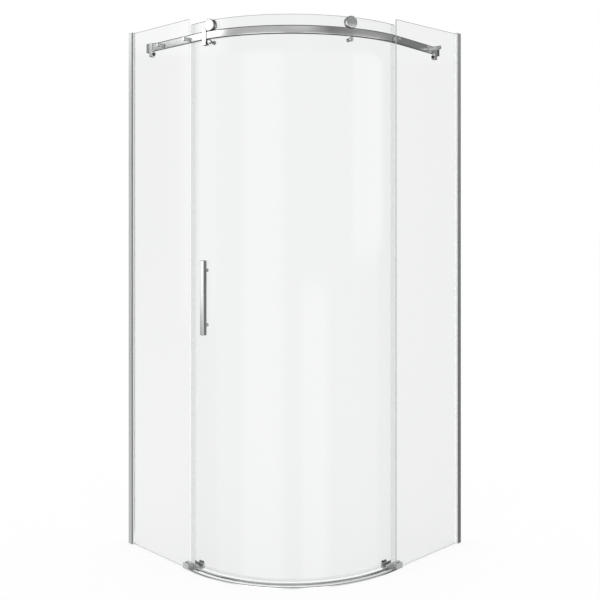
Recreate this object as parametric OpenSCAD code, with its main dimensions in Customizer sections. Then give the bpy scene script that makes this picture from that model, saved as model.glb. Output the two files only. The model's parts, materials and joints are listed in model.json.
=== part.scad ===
// Quadrant shower enclosure with two flat fixed panes and one curved sliding door.
// The door hangs on two wheels that run on a bent steel rail.
// Origin: middle of the footprint, on the floor. +Z is up, and the room's corner is at (-X, +Y).

/* [Overall] */
// Outer length of each side, measured along the wall
side = 900; // [800:10:1000]
// Overall height
height = 1950; // [1850:10:2050]
// Plan radius of the threshold's outer face
corner_r = 500; // [450:5:560]

/* [Fixed panes] */
// Thickness of the fixed panes
pane_t = 6; // [5:1:8]
// How far the free edge of each fixed pane stops short of the bend
pane_short = 24; // [16:1:32]
// Height of the clear strip under a fixed pane
strip_h = 3; // [2:0.5:6]
// Distance from the top of the enclosure down to the top of the panes
pane_drop = 3; // [2:1:20]

/* [Wall profiles] */
// Width of the wall channel, across the pane
channel_w = 14; // [13:0.5:16]
// Depth of the wall channel, away from the wall
channel_d = 20; // [18:1:26]
// Wall thickness of the channel and of the glass profile
profile_wall = 1.4; // [1.2:0.1:1.6]
// How far the glass profile stands out of the channel
profile_reach = 7; // [6:1:10]
// Depth of the pocket that the pane stands in
pocket_d = 12; // [11:0.5:13]
// Thickness of the cap on top of a wall profile
cap_t = 2; // [1.5:0.5:4]
// Radius of the holes for the wall screws
wall_hole_r = 2.8; // [2:0.1:3.5]
// Distance between neighbouring wall screws
wall_hole_pitch = 570; // [400:10:600]
// Radius of the screws that lock the glass profile in the channel
lock_r = 1.9; // [1.5:0.1:2.5]
// Distance between neighbouring lock screws
lock_pitch = 780; // [500:10:860]

/* [Door] */
// Thickness of the curved door pane
door_t = 6; // [5:1:8]
// Gap between the rail and the door pane
door_gap = 6; // [5.5:0.5:7]
// How far the door laps past each end of its quarter circle, in degrees
door_lap = 6.6; // [5:0.1:8]
// Top of the door pane below the top of the enclosure
door_drop = 14; // [10:1:20]
// Bottom of the door pane above the floor
door_floor_gap = 12; // [11.5:0.5:16]

/* [Rail] */
// Height of the rail's section
rail_h = 30; // [25:1:40]
// Thickness of the rail's section
rail_t = 10; // [8:1:12]
// Top of the rail below the top of the enclosure
rail_drop = 54; // [50:1:60]
// Gap between a fixed pane and the rail
rail_gap = 7; // [6.5:0.5:8]
// Distance from the left wall to the rail's end
rail_left_gap = 100; // [80:1:120]
// How far the bend goes past the quarter circle on the right, in degrees
rail_over = 8; // [6:0.5:10]
// Distance from the back wall to the rail's end
rail_right_gap = 61; // [50:1:80]

/* [Rail fixings] */
// Distance from the left wall to the outer rail bolt
left_bolt_1 = 188; // [160:1:220]
// Distance from the left pane's free edge to the inner rail bolt
left_bolt_edge = 28; // [16:1:46]
// Distance from the back wall to the outer rail bolt
right_bolt_1 = 128; // [110:1:160]
// Distance from the right pane's free edge to the inner rail bolt
right_bolt_edge = 14; // [12:1:26]
// Radius of the rail bolts
bolt_r = 4; // [3:0.5:5]
// Radius of the bolt heads and spacers
head_r = 7; // [6.5:0.5:9]
// Thickness of the bolt heads
head_t = 3; // [2:0.5:3]
// Radius of the bolt holes in the panes
pane_hole_r = 6; // [5.5:0.5:7]
// Thickness of the clear gaskets against the glass
gasket_t = 0.8; // [0.5:0.1:0.9]

/* [Wheels] */
// Distance along the door's outer face from its left edge to the left wheel
left_wheel_at = 123.9; // [110:0.1:140]
// Distance along the door's outer face from its right edge to the right wheel
right_wheel_at = 216.8; // [200:0.1:300]
// Radius of the wheel where it runs on the rail
tread_r = 17.7; // [16:0.1:22]
// Width of the tread between the flanges
tread_w = 14.8; // [14.4:0.1:15]
// Height of the flanges above the tread
flange_h = 3.8; // [3:0.1:5]
// Thickness of each flange
flange_t = 1.5; // [1.2:0.1:1.5]
// How far the polished cap stands proud of its wheel
wheel_cap_t = 0.6; // [0.4:0.1:0.8]
// Radius of the axle
axle_r = 4; // [3:0.5:5]
// Outer radius of the bearing
bearing_r = 11; // [9:0.5:12]
// Width of the bearing
bearing_w = 7; // [5:0.5:8]
// Radius of the discs that keep the door from lifting
disc_r = 8; // [6:0.5:10]
// Gap between the rail and those discs
disc_gap = 2; // [1.5:0.1:3]

/* [Stops] */
// Length of a stop along the rail
stop_len = 18; // [8:1:20]
// Thickness of the stop's cheek on the outside of the rail
stop_cheek = 3; // [2:0.5:3]
// Length of the rubber bumper on a stop
bumper_len = 8; // [6:1:12]
// Radius of the bumper at its base
bumper_r = 7.5; // [4:0.5:8]
// Length of the caps on the rail's ends
end_cap_len = 19; // [14:1:24]

/* [Handle] */
// Length of the handle bar
handle_len = 262; // [200:2:400]
// Width of the handle bar
handle_w = 18; // [14:1:24]
// Depth of the handle bar
handle_d = 16; // [10:1:18]
// Gap between the bar and the door
handle_gap = 4; // [3:0.5:24]
// Height of the handle's middle above the floor
handle_z = 964; // [850:1:1100]
// Distance along the door's outer face from its left edge to the handle
handle_at = 88.8; // [78:0.1:110]
// Distance between the handle's two posts
post_pitch = 192; // [128:2:192]
// Radius of the handle's posts
post_r = 5; // [4:0.5:6]

/* [Seals] */
// Thickness of the clear seals
seal_t = 1.2; // [0.8:0.1:1.4]
// Width of the outer leaf of the left edge seal
left_leaf = 38; // [30:1:42]
// Width of the outer leaf of the right edge seal
right_leaf = 27; // [24:1:32]
// Width of the inner leaf of both edge seals
inner_leaf = 20; // [14:1:22]
// Depth of the seal under the door
sweep_d = 4; // [3:0.5:4.5]

/* [Threshold and bottom guides] */
// Width of the threshold
sill_w = 23; // [18:1:24]
// Height of the threshold's deck
sill_h = 6; // [4:0.5:7]
// Height of the threshold's inner lip
lip_h = 10; // [8:0.5:12]
// Thickness of the threshold's inner lip
lip_t = 2; // [1.5:0.5:3]
// Length of a guide's glass clamp
clamp_len = 31; // [24:1:40]
// Height of a guide's glass clamp
clamp_h = 20; // [16:1:30]
// Length of a guide's block along the door
block_len = 46; // [36:1:52]
// Height of a guide's block under the door
block_h = 6; // [5:0.5:6.5]
// Height of the ribs that hold the door's foot
rib_h = 17; // [15:1:22]
// Height of the upright tab inside the door
tab_h = 26; // [24:1:36]
// Length of the upright tab
tab_len = 27; // [20:1:34]

/* [Hidden] */

$fn = 96;
eps = 0.01;
fit = 0.3;          // gap beside a piece that moves or is pushed in
slip = 0.1;         // gap round a bush or a screw
seam = 0.03;        // how much thinner the rail's straight runs are where they enter the bend
seat = 0.05;        // gap under a seal that is pushed on the glass
thread = 0.05;      // gap round a screw in its thread
half = side / 2;
far = 2 * side;

// The arc's centre, and the radii of what follows it, from the outside in
cx = half - corner_r;
cy = corner_r - half;
r_pane_out = corner_r - (channel_w - pane_t) / 2;
r_pane_in = r_pane_out - pane_t;
r_rail_out = r_pane_in - rail_gap;
r_rail_in = r_rail_out - rail_t;
r_rail = r_rail_out - rail_t / 2;
r_door_out = r_rail_in - door_gap;
r_door_in = r_door_out - door_t;

// Straight runs: what is left of each side beside the bend
pane_len = side - corner_r - pane_short;
left_rail_end = rail_left_gap - half;
rail_left_run = cx - left_rail_end;
rail_right_run = (half - rail_right_gap - cy - r_rail * sin(rail_over)) / cos(rail_over);
left_bolts = [left_bolt_1, pane_len - left_bolt_edge];
right_bolts = [right_bolt_1, pane_len - right_bolt_edge];

// Insets from the outer face of a straight side
in_pane = corner_r - r_pane_out;
in_pane_back = corner_r - r_pane_in;
in_rail = corner_r - r_rail_out;

// Heights
pane_top = height - pane_drop;
rail_top = height - rail_drop;
rail_bottom = rail_top - rail_h;
rail_z = rail_top - rail_h / 2;
wheel_z = rail_top + fit + tread_r;
disc_z = rail_bottom - disc_gap - disc_r;
door_top = height - door_drop;
profile_top = height - cap_t;

// Angles on the door, in degrees from +X
deg = 180 / PI;
a_start = -90 - door_lap;
a_end = door_lap;
a_left = a_start + left_wheel_at / r_door_out * deg;
a_right = a_end - right_wheel_at / r_door_out * deg;
a_handle = a_start + handle_at / r_door_out * deg;

// Wall profile
inner_w = channel_w - 2 * profile_wall - 2 * fit;
profile_front = channel_d + profile_reach;
profile_back = profile_front - pocket_d - profile_wall;
pane_start = profile_front - pocket_d + fit;
gasket_w = (inner_w - 2 * profile_wall - pane_t) / 2;
lock_head_r = lock_r + 1.6;
lock_head_t = 2.2;
lock_from_wall = channel_d - 4;

// Rail fixings: the distance from the pane to the rail is left to the spacers
bite = 0.7 * rail_t;
spacer_in = in_pane_back + gasket_t;
y_bend_end = cy + r_rail_out * sin(rail_over);
x_bend_end = cx + r_rail_out * cos(rail_over);
function rail_face_x(y) = y <= y_bend_end
    ? cx + sqrt(r_rail_out * r_rail_out - (y - cy) * (y - cy))
    : x_bend_end - (y - y_bend_end) * tan(rail_over);

// Where a flat disc of radius r meets the door's hollow inner face
function inner_seat(r) = sqrt(r_door_in * r_door_in - r * r) - eps;

// Wheels
wheel_w = tread_w + 2 * flange_t;
rim_r = tread_r + flange_h;
cap_r = rim_r - 1.5;
recess = 0.7;
plug_t = 3;
wheel_back = r_rail - wheel_w / 2;
bearing_in = r_rail - bearing_w / 2;
axle_end = bearing_in + bearing_w + 1;
axle_hole_r = axle_r + 3;
nut_r = 9;
nut_t = 6;
nut_floor = 0.8;
nut_seat = inner_seat(nut_r);
axle_start = nut_seat - gasket_t - nut_t + nut_floor + fit;
pin_r = 3;
pin_head_r = 7;
pin_head_t = 3;
pin_seat = inner_seat(pin_head_r);
disc_in = r_rail_out - 4;
disc_out = r_rail_out + 4;

// Stops
disc_half = disc_r / r_rail * deg;
bumper_deg = bumper_len / r_rail * deg;
stop_deg = stop_len / r_rail * deg;
stop_near = a_left - disc_half - bumper_deg - 0.06;
stop_top = rail_top + 1.5;
stop_bottom = disc_z - disc_r - 1;
stop_in = 2.5;
set_r = 2.5;
cap_wall = 1.9;

// Handle
r_bar_in = r_door_out + handle_gap;
handle_screw_r = 3;
handle_head_r = 6;
handle_head_t = 2;
handle_seat = inner_seat(handle_head_r);
handle_screw_end = r_bar_in + handle_d / 2 - 1;

// Bottom guides, in insets from the outer face
in_block = sill_w + fit;
play_out = 3.6;
play_in = 4;
in_rib = corner_r - r_door_out - play_out;
r_rib = r_door_in - play_in;
rib_t = 5;
in_back = corner_r - r_rib + rib_t;
clamp_end = pane_len - half + 2;
block_start = clamp_end - clamp_len + 12;
block_end = block_start + block_len;
tab_t = 4;
tab_curve = 8;
guide_screw_r = 1.6;
arm_x = clamp_end - clamp_len / 2;

module radial(a, r, z) {
    translate([cx, cy, z]) rotate([0, 0, a]) translate([r, 0, 0]) rotate([0, 90, 0]) children();
}

module ring(r_in, r_out, a0, a1, z0, z1) {
    translate([cx, cy, z0]) rotate([0, 0, a0]) rotate_extrude(angle = a1 - a0, $fn = 360)
        translate([r_in, 0]) square([r_out - r_in, z1 - z0]);
}

module tube(r, bore, len) {
    difference() {
        cylinder(r = r, h = len);
        translate([0, 0, -eps]) cylinder(r = bore, h = len + 2 * eps);
    }
}

// A cylinder that starts at an inset from the left side's outer face and points inward
module inward(x, inset, z) {
    translate([x, -half + inset, z]) rotate([-90, 0, 0]) children();
}

// What the left side has, carried over to the right side
module right_side() {
    mirror([1, 1, 0]) children();
}

module rounded_bar(w, d, h, r) {
    linear_extrude(h) {
        square([w - 2 * r, d], center = true);
        square([w, d - 2 * r], center = true);
        for (i = [-1, 1], j = [-1, 1])
            translate([i * (w / 2 - r), j * (d / 2 - r)]) circle(r = r, $fn = 32);
    }
}

// Wall channel: the screw holes go through its back, and the lock screws through its inner leg
module wall_channel() {
    difference() {
        translate([-half, -half, 0]) cube([channel_d, channel_w, profile_top]);
        translate([-half + profile_wall, -half + profile_wall, -eps])
            cube([channel_d, channel_w - 2 * profile_wall, height]);
        for (i = [-1.5 : 1.5])
            translate([-half - eps, -half + channel_w / 2, height / 2 + i * wall_hole_pitch])
                rotate([0, 90, 0]) cylinder(r = wall_hole_r, h = profile_wall + 2 * eps);
        lock_places() cylinder(r = lock_r + slip, h = 3 * profile_wall, center = true);
    }
}

module lock_places() {
    for (i = [-1 : 1])
        translate([-half + lock_from_wall, -half + channel_w, height / 2 + i * lock_pitch])
            rotate([-90, 0, 0]) children();
}

// Glass profile: slides in the wall channel and holds the pane's edge in its pocket
module glass_profile() {
    difference() {
        translate([-half + profile_back, -half + (channel_w - inner_w) / 2, 0])
            cube([profile_front - profile_back, inner_w, profile_top]);
        translate([-half + profile_back + profile_wall, -half + channel_w / 2 - gasket_w - pane_t / 2, -eps])
            cube([pocket_d + eps, pane_t + 2 * gasket_w, height]);
        lock_places() cylinder(r = lock_r + slip, h = 6 * profile_wall, center = true);
    }
}

module pane_gasket() {
    for (y = [channel_w - pane_t - 2 * gasket_w, channel_w + pane_t])
        translate([-half + pane_start, -half + y / 2, strip_h])
            cube([profile_front - pane_start + 1.5, gasket_w, profile_top - strip_h]);
}

module profile_cap() {
    translate([-half, -half, profile_top]) cube([profile_front, channel_w, cap_t]);
    translate([-half + profile_wall + fit, -half + channel_w / 2 - 4, profile_top - 8])
        cube([profile_back - profile_wall - 2 * fit, 8, 8 + eps]);
}

module lock_screws() {
    lock_places() {
        cylinder(r = lock_head_r, h = lock_head_t);
        translate([0, 0, -2 * profile_wall - fit]) cylinder(r = lock_r, h = 2 * profile_wall + fit + eps);
    }
}

module left_wall_channel() { color("silver") wall_channel(); }
module right_wall_channel() { color("silver") right_side() wall_channel(); }
module left_glass_profile() { color("gainsboro") glass_profile(); }
module right_glass_profile() { color("gainsboro") right_side() glass_profile(); }
module left_pane_gasket() { color("white", 0.6) pane_gasket(); }
module right_pane_gasket() { color("white", 0.6) right_side() pane_gasket(); }
module profile_caps() {
    color("silver") {
        profile_cap();
        right_side() profile_cap();
    }
}
module profile_screws() {
    color("lightgray") {
        lock_screws();
        right_side() lock_screws();
    }
}

// Fixed pane, with the holes for its rail bolts at distances from the wall
module fixed_pane(bolts) {
    difference() {
        translate([-half + pane_start, -half + in_pane, strip_h])
            cube([pane_len - pane_start, pane_t, pane_top - strip_h]);
        for (d = bolts)
            inward(-half + d, in_pane - eps, rail_z) cylinder(r = pane_hole_r, h = pane_t + 2 * eps);
    }
}

module foot_strip() {
    translate([-half + profile_front + fit, -half + channel_w / 2 - pane_t / 2 - 1, 0])
        cube([pane_len - clamp_len - profile_front - 2 * fit + 2, pane_t + 2, strip_h]);
}

module left_fixed_pane() { color("azure", 0.35) fixed_pane(left_bolts); }
module right_fixed_pane() { color("azure", 0.35) right_side() fixed_pane(right_bolts); }
module left_foot_strip() { color("white", 0.6) foot_strip(); }
module right_foot_strip() { color("white", 0.6) right_side() foot_strip(); }

// The rail: a straight run on the left, the bend, and a straight run that leaves the right pane
module rail() {
    color("silver") difference() {
        union() {
            ring(r_rail_in, r_rail_out, -90, rail_over, rail_bottom, rail_top);
            translate([left_rail_end, cy - r_rail_out + seam, rail_bottom + seam])
                cube([rail_left_run + 1, rail_t - 2 * seam, rail_h - 2 * seam]);
            translate([cx, cy, rail_bottom + seam]) rotate([0, 0, rail_over])
                translate([r_rail_in + seam, -1, 0])
                    cube([rail_t - 2 * seam, rail_right_run + 1, rail_h - 2 * seam]);
        }
        for (d = left_bolts)
            inward(-half + d, in_rail - eps, rail_z) cylinder(r = bolt_r + thread, h = bite + thread);
        for (d = right_bolts)
            right_side() inward(-half + d, half - rail_face_x(half - d) - head_r, rail_z)
                cylinder(r = bolt_r + thread, h = bite + head_r);
    }
}

// Sleeve cap on a rail end that lies at the origin and points along -X
module end_cap() {
    difference() {
        translate([-3, -rail_t / 2 - cap_wall, -rail_h / 2 - cap_wall])
            cube([end_cap_len, rail_t + 2 * cap_wall, rail_h + 2 * cap_wall]);
        translate([0, -rail_t / 2 - slip, -rail_h / 2 - slip])
            cube([end_cap_len, rail_t + 2 * slip, rail_h + 2 * slip]);
    }
}

module at_left_end() {
    translate([left_rail_end, cy - r_rail, rail_z]) children();
}

module at_right_end() {
    translate([cx, cy, rail_z]) rotate([0, 0, rail_over]) translate([r_rail, rail_right_run, 0])
        rotate([0, 0, -90]) children();
}

module rail_end_caps() {
    color("darkgray") {
        at_left_end() end_cap();
        at_right_end() end_cap();
    }
}

// One rail bolt: a flat head outside the pane and a shank that ends in the rail
module rail_bolt(d, reach) {
    inward(-half + d, in_pane - gasket_t - head_t, rail_z) {
        cylinder(r = head_r, h = head_t - 1 + eps);
        translate([0, 0, head_t - 1]) cylinder(r = head_r, h = 1);
        cylinder(r = bolt_r, h = reach - in_pane + gasket_t + head_t);
    }
}

module rail_bolts() {
    color("gainsboro") {
        for (d = left_bolts) rail_bolt(d, in_rail + bite);
        for (d = right_bolts)
            right_side() rail_bolt(d, half - rail_face_x(half - d) + bite - 1.5);
    }
}

// Spacers between the panes and the rail; those on the right are cut to the rail's face
module rail_spacers() {
    color("whitesmoke") {
        for (d = left_bolts)
            inward(-half + d, spacer_in, rail_z) tube(head_r, bolt_r + slip, in_rail - spacer_in);
        difference() {
            for (d = right_bolts)
                right_side() inward(-half + d, spacer_in, rail_z)
                    tube(head_r, bolt_r + slip, half - rail_face_x(half - d) - spacer_in + rail_t);
            translate([cx, cy, rail_bottom]) linear_extrude(rail_h) {
                circle(r = r_rail_out, $fn = 360);
                rotate(rail_over) square([r_rail_out, far]);
            }
        }
    }
}

module glass_gasket(d) {
    inward(-half + d, in_pane - gasket_t, rail_z) tube(head_r, bolt_r + slip, gasket_t);
    inward(-half + d, in_pane_back, rail_z) tube(head_r, bolt_r + slip, gasket_t);
}

module rail_gaskets() {
    color("white", 0.6) {
        for (d = left_bolts) glass_gasket(d);
        for (d = right_bolts) right_side() glass_gasket(d);
    }
}

module glass_bushes() {
    color("white") {
        for (d = left_bolts)
            inward(-half + d, in_pane, rail_z) tube(pane_hole_r - slip, bolt_r + slip, pane_t);
        for (d = right_bolts)
            right_side() inward(-half + d, in_pane, rail_z) tube(pane_hole_r - slip, bolt_r + slip, pane_t);
    }
}

// A stop that is clamped round the rail, from x = 0 to stop_len, with the rail along X
module stop_body() {
    difference() {
        translate([0, -rail_t / 2 - stop_cheek, stop_bottom - rail_z])
            cube([stop_len, rail_t + stop_cheek + stop_in, stop_top - stop_bottom]);
        translate([-eps, -rail_t / 2 - slip, -rail_h / 2 - slip])
            cube([stop_len + 2 * eps, rail_t + 2 * slip, rail_h + 2 * slip]);
        translate([stop_len / 2, -rail_t / 2, 0]) rotate([90, 0, 0])
            cylinder(r = set_r, h = stop_cheek + eps);
        translate([stop_len / 2, 0, disc_z - rail_z]) rotate([0, 90, 0]) cylinder(r = set_r, h = stop_len);
    }
}

module stop_bumper() {
    translate([stop_len, 0, disc_z - rail_z]) rotate([0, 90, 0]) {
        cylinder(r1 = bumper_r, r2 = bumper_r * 0.45, h = bumper_len);
        translate([0, 0, -stop_len / 2 + fit]) cylinder(r = set_r - slip, h = stop_len / 2);
    }
}

module set_screw() {
    translate([stop_len / 2, -rail_t / 2 - slip, 0]) rotate([90, 0, 0]) difference() {
        cylinder(r = set_r - slip, h = stop_cheek);
        translate([0, 0, stop_cheek - 1.5]) cylinder(r = 1.25, h = 2, $fn = 6);
    }
}

module left_stop_place() {
    translate([left_rail_end + end_cap_len - 3 + 1, cy - r_rail, rail_z]) children();
}

module right_stop_place() {
    at_right_end() translate([end_cap_len - 3 + 1, 0, 0]) mirror([0, 1, 0]) children();
}

module door_stop_place() {
    translate([cx, cy, rail_z]) rotate([0, 0, stop_near - stop_deg / 2 + 90])
        translate([-stop_len / 2, -r_rail, 0]) children();
}

// The stop beside the closed door sits on the bend, so its slot is cut to the bend's radii
module bent_stop() {
    difference() {
        translate([0, -rail_t / 2 - stop_cheek, stop_bottom - rail_z])
            cube([stop_len, rail_t + stop_cheek + stop_in, stop_top - stop_bottom]);
        translate([stop_len / 2, r_rail, -rail_h / 2 - slip]) difference() {
            cylinder(r = r_rail_out + slip, h = rail_h + 2 * slip, $fn = 360);
            translate([0, 0, -eps]) cylinder(r = r_rail_in - slip, h = rail_h + 1, $fn = 360);
        }
        translate([stop_len / 2, -rail_t / 2, 0]) rotate([90, 0, 0])
            cylinder(r = set_r, h = stop_cheek + eps);
        translate([stop_len / 2, 0, disc_z - rail_z]) rotate([0, 90, 0]) cylinder(r = set_r, h = stop_len);
    }
}

module left_end_stop() { color("lightgray") left_stop_place() stop_body(); }
module right_end_stop() { color("lightgray") right_stop_place() stop_body(); }
module door_stop() { color("lightgray") door_stop_place() bent_stop(); }
module stop_bumpers() {
    color("black") {
        left_stop_place() stop_bumper();
        right_stop_place() stop_bumper();
        door_stop_place() stop_bumper();
    }
}
module stop_screws() {
    color("dimgray") {
        left_stop_place() set_screw();
        right_stop_place() set_screw();
        door_stop_place() set_screw();
    }
}

// Threshold: a sloped deck with a rounded outer edge and an upright inner lip
module sill_section() {
    difference() {
        union() {
            square([sill_w, sill_h - 1]);
            polygon([[0, 0], [sill_w - 2, 0], [sill_w - 2, sill_h - 1], [lip_t, sill_h], [0, sill_h]]);
            square([lip_t, lip_h - lip_t / 2]);
            translate([lip_t / 2, lip_h - lip_t / 2]) circle(d = lip_t, $fn = 24);
        }
        translate([sill_w - 2, sill_h - 3]) difference() {
            square(3);
            circle(r = 2, $fn = 24);
        }
    }
}

module straight_sill() {
    translate([clamp_end, cy, 0]) rotate([90, 0, 90]) linear_extrude(cx - clamp_end)
        mirror([1, 0]) translate([corner_r - sill_w, 0]) sill_section();
}

module threshold() {
    color("silver") {
        translate([cx, cy, 0]) rotate([0, 0, -90]) rotate_extrude(angle = 90, $fn = 360)
            translate([corner_r - sill_w, 0]) sill_section();
        straight_sill();
        right_side() straight_sill();
    }
}

// Glass clamp of a bottom guide: it wraps the pane's lower corner
module guide_clamp() {
    difference() {
        translate([clamp_end - clamp_len, -half, 0]) cube([clamp_len, sill_w, clamp_h]);
        translate([clamp_end - clamp_len - eps, -half + in_pane - slip, strip_h])
            cube([clamp_len - 2 + eps, pane_t + 2 * slip, clamp_h]);
        translate([arm_x, -half + sill_w + eps, block_h / 2]) rotate([90, 0, 0])
            cylinder(r = guide_screw_r, h = 9);
        translate([arm_x, -half + sill_w + eps, clamp_h - 5]) rotate([90, 0, 0])
            cylinder(r = set_r, h = sill_w - in_pane_back);
    }
}

// Plastic block: the door's foot runs between its two ribs, and the inner rib follows the door
module guide_block() {
    difference() {
        translate([block_start, -half + in_block, 0]) union() {
            cube([block_len, in_back - in_block, block_h]);
            cube([block_len, in_rib - in_block, rib_h]);
            cube([block_len, in_back - in_block, rib_h]);
        }
        translate([0, 0, block_h]) intersection() {
            translate([cx, cy, 0]) difference() {
                cylinder(r = corner_r, h = far, $fn = 360);
                translate([0, 0, -eps]) cylinder(r = r_rib, h = far + 1, $fn = 360);
            }
            translate([block_start - 1, -half + in_rib, 0]) cube([block_len + 2, far, far]);
        }
        tab_screw_places() cylinder(r = guide_screw_r + slip, h = 4 * rib_t, center = true);
        translate([arm_x, -half + in_block - eps, block_h / 2]) rotate([-90, 0, 0])
            cylinder(r = guide_screw_r + slip, h = 2 * sill_w);
    }
}

module tab_screw_places() {
    for (s = [-1, 1])
        translate([block_end - tab_len / 2 + s * tab_len / 4, -half + in_back, rib_h - 5])
            rotate([90, 0, 0]) children();
}

// Upright metal tab on the block's inner face, with a round top
module guide_tab() {
    difference() {
        translate([block_end - tab_len, -half + in_back + tab_t, 0]) rotate([90, 0, 0])
            linear_extrude(tab_t) {
                square([tab_len, tab_h - tab_curve]);
                translate([tab_curve, 0]) square([tab_len - 2 * tab_curve, tab_h]);
                for (x = [tab_curve, tab_len - tab_curve])
                    translate([x, tab_h - tab_curve]) circle(r = tab_curve, $fn = 48);
            }
        tab_screw_places() cylinder(r = guide_screw_r + slip, h = 4 * tab_t, center = true);
    }
}

// Screws of one guide: two through the tab, a long one through the block, and the glass grip
module side_screws() {
    tab_screw_places() {
        translate([0, 0, -tab_t - 2]) cylinder(r = 1.8 * guide_screw_r, h = 2);
        translate([0, 0, -tab_t - eps]) cylinder(r = guide_screw_r, h = tab_t + rib_t - 1);
    }
    translate([arm_x, -half + in_back, block_h / 2]) rotate([90, 0, 0]) {
        translate([0, 0, -1.5]) cylinder(r = 1.7 * guide_screw_r, h = 1.5);
        translate([0, 0, -eps]) cylinder(r = guide_screw_r - slip, h = in_back - sill_w + 8);
    }
    translate([arm_x, -half + in_pane_back, clamp_h - 5]) rotate([-90, 0, 0]) difference() {
        cylinder(r = set_r - slip, h = sill_w - in_pane_back - 1);
        translate([0, 0, sill_w - in_pane_back - 3]) cylinder(r = 1.25, h = 3, $fn = 6);
    }
}

module left_guide_clamp() { color("silver") guide_clamp(); }
module right_guide_clamp() { color("silver") right_side() guide_clamp(); }
module left_guide_block() { color("dimgray") guide_block(); }
module right_guide_block() { color("dimgray") right_side() guide_block(); }
module left_guide_tab() { color("silver") guide_tab(); }
module right_guide_tab() { color("silver") right_side() guide_tab(); }
module guide_screws() {
    color("gainsboro") {
        side_screws();
        right_side() side_screws();
    }
}

// Curved door pane, with its holes for the axles, the lift pins and the handle's screws
module door_pane() {
    color("azure", 0.35) difference() {
        ring(r_door_in, r_door_out, a_start, a_end, door_floor_gap, door_top);
        for (a = [a_left, a_right]) {
            radial(a, r_door_in - 1, wheel_z) cylinder(r = axle_hole_r, h = door_t + 2);
            radial(a, r_door_in - 1, disc_z) cylinder(r = pin_r + 1, h = door_t + 2);
        }
        for (s = [-1, 1])
            radial(a_handle, r_door_in - 1, handle_z + s * post_pitch / 2)
                cylinder(r = handle_screw_r + 1, h = door_t + 2);
    }
}

// Edge seal: a clear channel over the pane's edge, with a long outer leaf
module edge_seal(a_edge, way, leaf) {
    a_seat = a_edge + way * seat / r_door_out * deg;
    a_lip = a_edge + way * seal_t / r_door_out * deg;
    a_leaf = a_edge - way * leaf / r_door_out * deg;
    a_inner = a_edge - way * inner_leaf / r_door_out * deg;
    r_out = r_door_out + seat;
    r_in = r_door_in - seat;
    ring(r_out, r_out + seal_t, min(a_lip, a_leaf), max(a_lip, a_leaf), door_floor_gap, door_top);
    ring(r_in - seal_t, r_in, min(a_lip, a_inner), max(a_lip, a_inner), door_floor_gap, door_top);
    ring(r_in - eps, r_out + eps, min(a_lip, a_seat), max(a_lip, a_seat), door_floor_gap, door_top);
}

module left_edge_seal() { color("white", 0.6) edge_seal(a_start, -1, left_leaf); }
module right_edge_seal() { color("white", 0.6) edge_seal(a_end, 1, right_leaf); }

// Seal under the door: it grips the pane's lower edge between the two edge seals
module door_sweep() {
    a0 = a_start + (left_leaf + 1) / r_door_out * deg;
    a1 = a_end - (right_leaf + 1) / r_door_out * deg;
    r_out = r_door_out + seat;
    r_in = r_door_in - seat;
    top = door_floor_gap - seat;
    color("white", 0.6) {
        ring(r_in - seal_t, r_out + seal_t, a0, a1, top - seal_t, top);
        ring(r_in - seal_t, r_in, a0, a1, door_floor_gap - sweep_d, top + 8);
        ring(r_out, r_out + seal_t, a0, a1, top - eps, top + 8);
    }
}

// Axle: a collar against the pane and a spindle in the bearing
module wheel_axles() {
    color("silver") for (a = [a_left, a_right]) {
        radial(a, r_door_out + gasket_t, wheel_z)
            cylinder(r = axle_r + 2, h = bearing_in - fit - r_door_out - gasket_t);
        radial(a, axle_start, wheel_z) cylinder(r = axle_r, h = axle_end - axle_start);
    }
}

module axle_nuts() {
    color("gainsboro") for (a = [a_left, a_right]) {
        radial(a, nut_seat - gasket_t - nut_t, wheel_z) difference() {
            cylinder(r = nut_r, h = nut_t);
            translate([0, 0, nut_floor]) cylinder(r = axle_r + slip, h = nut_t);
        }
    }
}

module axle_bushes() {
    color("white") for (a = [a_left, a_right]) {
        radial(a, nut_seat - eps, wheel_z)
            tube(axle_hole_r - slip, axle_r + slip, r_door_out - nut_seat + 2 * eps);
        radial(a, r_door_out, wheel_z) tube(axle_hole_r + 2, axle_r + slip, gasket_t);
        radial(a, nut_seat - gasket_t, wheel_z) tube(nut_r, axle_r + slip, gasket_t);
    }
}

module lift_discs() {
    color("silver") for (a = [a_left, a_right])
        radial(a, disc_in, disc_z) tube(disc_r, pin_r + slip, disc_out - disc_in);
}

module lift_pins() {
    color("gainsboro") for (a = [a_left, a_right]) {
        radial(a, pin_seat - pin_head_t, disc_z) cylinder(r = pin_head_r, h = pin_head_t);
        radial(a, pin_seat - eps, disc_z) cylinder(r = pin_r, h = disc_out - pin_seat + 1);
        radial(a, r_door_out, disc_z) tube(pin_r + 1, pin_r, disc_in - r_door_out);
    }
}

module handle_bar() {
    color("silver") difference() {
        translate([cx, cy, handle_z - handle_len / 2]) rotate([0, 0, a_handle])
            translate([r_bar_in + handle_d / 2, 0, 0]) rounded_bar(handle_d, handle_w, handle_len, 2);
        for (s = [-1, 1])
            radial(a_handle, r_bar_in - eps, handle_z + s * post_pitch / 2)
                cylinder(r = handle_screw_r + thread, h = handle_d / 2);
    }
}

module handle_posts() {
    color("silver") for (s = [-1, 1])
        radial(a_handle, r_door_out + gasket_t, handle_z + s * post_pitch / 2)
            tube(post_r, handle_screw_r + slip, handle_gap - gasket_t);
}

module handle_screws() {
    color("gainsboro") for (s = [-1, 1])
        radial(a_handle, handle_seat - gasket_t - handle_head_t, handle_z + s * post_pitch / 2) {
            cylinder(r = handle_head_r, h = handle_head_t);
            cylinder(r = handle_screw_r, h = handle_screw_end - handle_seat + gasket_t + handle_head_t);
        }
}

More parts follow.
